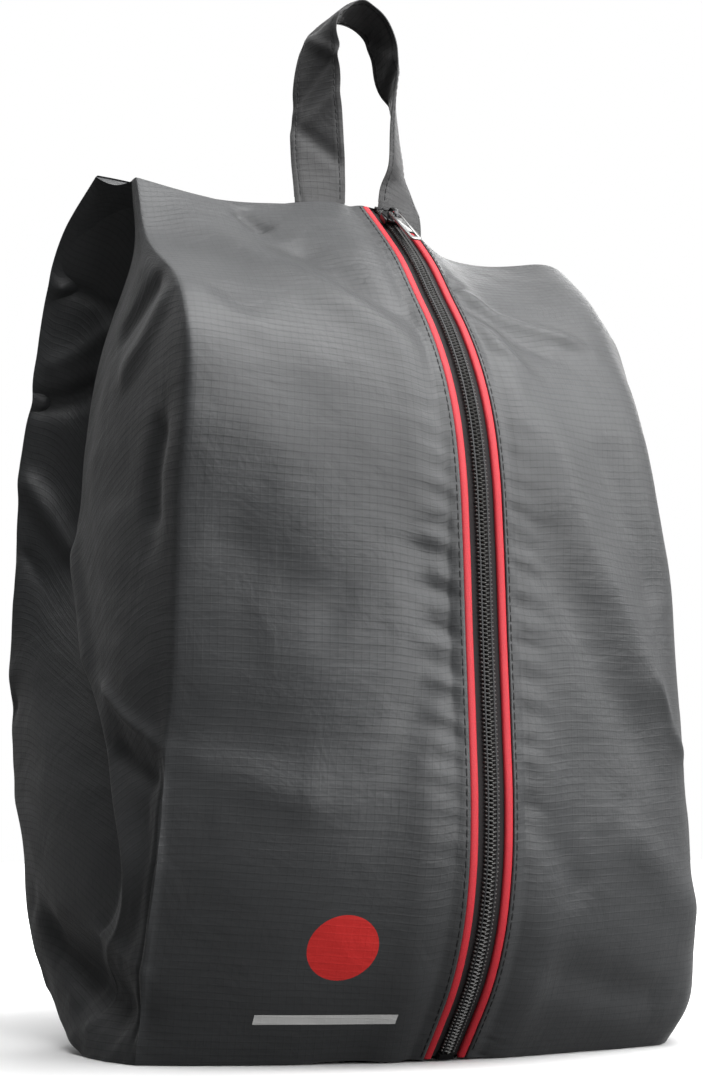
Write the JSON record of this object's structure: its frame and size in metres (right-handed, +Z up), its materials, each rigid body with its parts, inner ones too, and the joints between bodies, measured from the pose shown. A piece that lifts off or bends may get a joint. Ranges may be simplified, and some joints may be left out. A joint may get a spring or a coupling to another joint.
{
  "type": "shoe bag",
  "caption": "Soft upright shoe bag with a zip over its crowned front, pleated side gussets, a flat base and a strap loop handle on the top ridge.",
  "frame": {"origin": "centre of the bounding box in plan, on the underside of the base", "axes": "+Z up through the handle loop, -Y out of the zipped front, +X to the right of someone facing the zip"},
  "size_m": [0.2736, 0.2264, 0.487],
  "materials": {
    "ripstop_nylon": "satin",
    "seam_binding": "matte",
    "zip_tape": "matte",
    "zip_coil": "satin",
    "red_piping": "satin",
    "stop_metal": "satin",
    "slider_metal": "polished",
    "spring_steel": "polished",
    "tab_metal": "polished",
    "strap_nylon": "satin"
  },
  "bodies": {
    "bag": {"front_panel_left": "ripstop_nylon", "front_panel_right": "ripstop_nylon", "back_panel": "ripstop_nylon", "gusset_left": "ripstop_nylon", "gusset_right": "ripstop_nylon", "bottom_panel": "ripstop_nylon", "front_binding_left": "seam_binding", "front_binding_right": "seam_binding", "back_binding_left": "seam_binding", "back_binding_right": "seam_binding", "base_binding_front": "seam_binding", "base_binding_back": "seam_binding", "ridge_binding_left": "seam_binding", "ridge_binding_right": "seam_binding", "zip_tape_left": "zip_tape", "zip_tape_right": "zip_tape", "zip_coil_left": "zip_coil", "zip_coil_right": "zip_coil", "piping_left": "red_piping", "piping_right": "red_piping", "zip_top_stop_left": "stop_metal", "zip_top_stop_right": "stop_metal", "zip_bottom_stop": "stop_metal", "handle_anchor_left": "strap_nylon", "handle_anchor_right": "strap_nylon"},
    "slider": {"slider_body": "slider_metal", "slider_bridge": "slider_metal", "slider_lock_spring": "spring_steel"},
    "tab": {"pull_tab": "tab_metal"},
    "handle": {"handle_strap": "strap_nylon"}
  },
  "joints": [
    {"name": "zip_travel", "type": "hinge", "parent": "bag", "child": "slider", "pos_m": [0, 0.159, 0.158], "axis": [1, 0, 0], "range_deg": [0, 83]},
    {"name": "tab_swing", "type": "hinge", "parent": "slider", "child": "tab", "pos_m": [0, -0.0144, 0.37196], "axis": [-1, 0, 0], "range_deg": [0, 150]},
    {"name": "handle_swing", "type": "hinge", "parent": "bag", "child": "handle", "pos_m": [0, 0, 0.378], "axis": [1, 0, 0], "range_deg": [-75, 75]}
  ]
}
